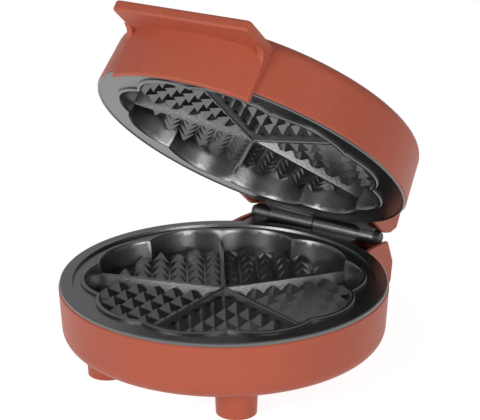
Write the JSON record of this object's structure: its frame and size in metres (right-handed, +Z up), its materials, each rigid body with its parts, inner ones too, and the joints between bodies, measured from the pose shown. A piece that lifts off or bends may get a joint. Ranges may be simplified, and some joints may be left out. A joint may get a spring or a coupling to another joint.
{
  "type": "waffle maker",
  "caption": "Round hinged waffle maker with heart-shaped wells in black non-stick plates, terracotta housings, a flanged front handle and short round feet, lid part open.",
  "frame": {"origin": "on the worktop, at the centre of the feet's footprint under the base's axis", "axes": "+Z up, -Y towards the handle, +X along the hinge"},
  "size_m": [0.2126, 0.2432, 0.2416],
  "materials": {
    "housing": "fine-grained satin",
    "nonstick_plate": "black non-stick coating",
    "foot_rubber": "matt",
    "gland_rubber": "matt",
    "zinc_steel": "zinc plated",
    "element_sheath": "dull steel sheath",
    "reflector_sheet": "bright rolled sheet",
    "switch_body": "plain",
    "glass_sleeve": "woven glass sleeve",
    "lead_cover": "silicone",
    "dark_cap": "black",
    "red_lens": "clear red",
    "green_lens": "clear green",
    "lamp_glass": "clear"
  },
  "bodies": {
    "base": {"base_shell": "housing", "feet": "housing", "foot_pads": "foot_rubber", "base_screws": "zinc_steel", "lower_plate": "nonstick_plate", "lower_heater": "element_sheath", "lower_reflector": "reflector_sheet", "lower_reflector_nut": "zinc_steel", "thermostat": "switch_body", "thermal_fuse": "glass_sleeve", "terminal_block": "switch_body", "cord_gland": "gland_rubber", "heater_leads": "lead_cover", "hinge_pin": "zinc_steel", "hinge_lead": "lead_cover", "pin_caps": "dark_cap"},
    "lid": {"lid_shell": "housing", "lid_handle": "housing", "handle_screws": "zinc_steel", "upper_plate": "nonstick_plate", "upper_heater": "element_sheath", "upper_reflector": "reflector_sheet", "upper_reflector_nut": "zinc_steel", "power_lens": "red_lens", "ready_lens": "green_lens", "indicator_lamps": "lamp_glass"}
  },
  "joints": [
    {"name": "lid_hinge", "type": "hinge", "parent": "base", "child": "lid", "pos_m": [0, 0.113, 0.06], "axis": [-1, 0, 0], "range_deg": [-40.9, 59.1]}
  ]
}
